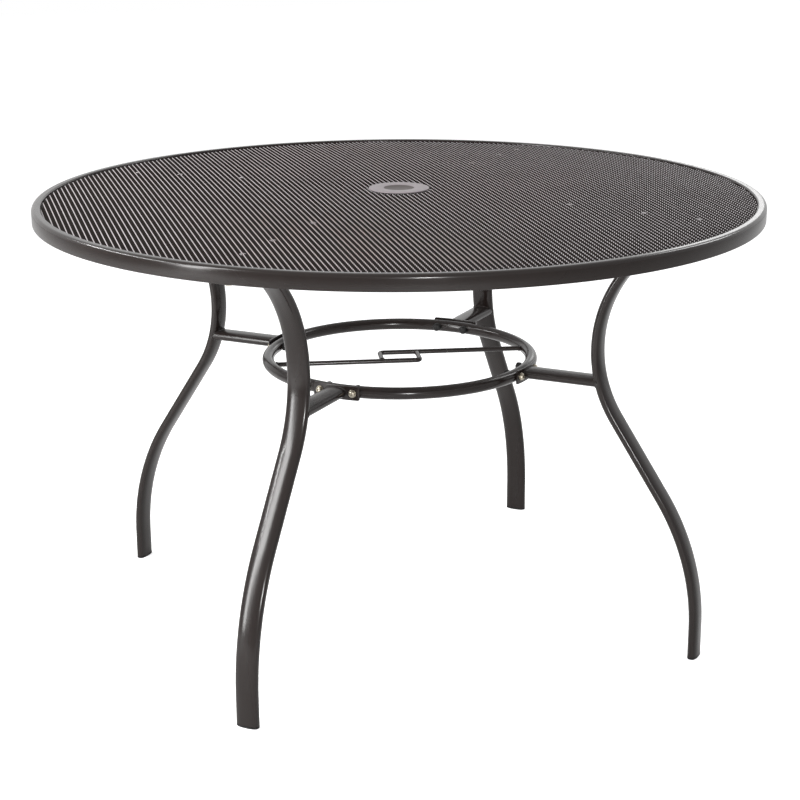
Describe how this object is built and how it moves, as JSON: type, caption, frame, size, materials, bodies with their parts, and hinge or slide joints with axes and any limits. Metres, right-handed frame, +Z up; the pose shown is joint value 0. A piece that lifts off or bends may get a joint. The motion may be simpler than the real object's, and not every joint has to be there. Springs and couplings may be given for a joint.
{
  "type": "patio umbrella table",
  "caption": "Round garden table with a domed mesh top in a rolled rim, a capped umbrella hole, curved flat-oval legs and a bolted ring with a wire pole guide.",
  "frame": {"origin": "on the floor, under the centre of the table top", "axes": "+Z up; the legs stand on the four diagonals between the X and Y axes; the rows of the mesh run along Y, turned 4.6 degrees clockwise"},
  "size_m": [1.2, 1.2, 0.7411],
  "materials": {
    "dark_coat": "satin powder coat, warm dark grey",
    "mesh_coat": "satin powder coat on expanded metal, dark grey",
    "hub_coat": "satin powder coat, light grey",
    "zinc": "yellow zinc plate on steel fasteners",
    "black_plastic": "fine moulded grain, black",
    "grey_plastic": "fine moulded grain, dark grey"
  },
  "bodies": {
    "frame": {"top_rim": "dark_coat", "mesh_panel": "mesh_coat", "umbrella_ring": "hub_coat", "umbrella_sleeve": "dark_coat", "frame_ring": "dark_coat", "under_brace_1": "dark_coat", "leg_1": "dark_coat", "strut_1": "dark_coat", "saddle_plate_1": "dark_coat", "foot_cap_1": "black_plastic", "leg_end_plug_1": "black_plastic", "under_brace_2": "dark_coat", "leg_2": "dark_coat", "strut_2": "dark_coat", "saddle_plate_2": "dark_coat", "foot_cap_2": "black_plastic", "leg_end_plug_2": "black_plastic", "under_brace_3": "dark_coat", "leg_3": "dark_coat", "strut_3": "dark_coat", "saddle_plate_3": "dark_coat", "foot_cap_3": "black_plastic", "leg_end_plug_3": "black_plastic", "under_brace_4": "dark_coat", "leg_4": "dark_coat", "strut_4": "dark_coat", "saddle_plate_4": "dark_coat", "foot_cap_4": "black_plastic", "leg_end_plug_4": "black_plastic", "leg_screw_1": "zinc", "leg_screw_2": "zinc", "leg_screw_3": "zinc", "leg_screw_4": "zinc", "leg_screw_5": "zinc", "leg_screw_6": "zinc", "leg_screw_7": "zinc", "leg_screw_8": "zinc", "ring_bolt_1": "zinc", "ring_bolt_2": "zinc", "ring_bolt_3": "zinc", "ring_bolt_4": "zinc", "ring_bolt_5": "zinc", "ring_bolt_6": "zinc", "ring_bolt_7": "zinc", "ring_bolt_8": "zinc", "ring_nut_1": "black_plastic", "ring_nut_2": "black_plastic", "ring_nut_3": "black_plastic", "ring_nut_4": "black_plastic", "ring_nut_5": "black_plastic", "ring_nut_6": "black_plastic", "ring_nut_7": "black_plastic", "ring_nut_8": "black_plastic", "guide_wire_1": "dark_coat", "guide_wire_2": "dark_coat"},
    "cap": {"hole_cap": "grey_plastic"}
  },
  "joints": [
    {"name": "cap_lift", "type": "slide", "parent": "frame", "child": "cap", "axis": [0, 0, 1], "range_m": [0, 0.08]}
  ]
}
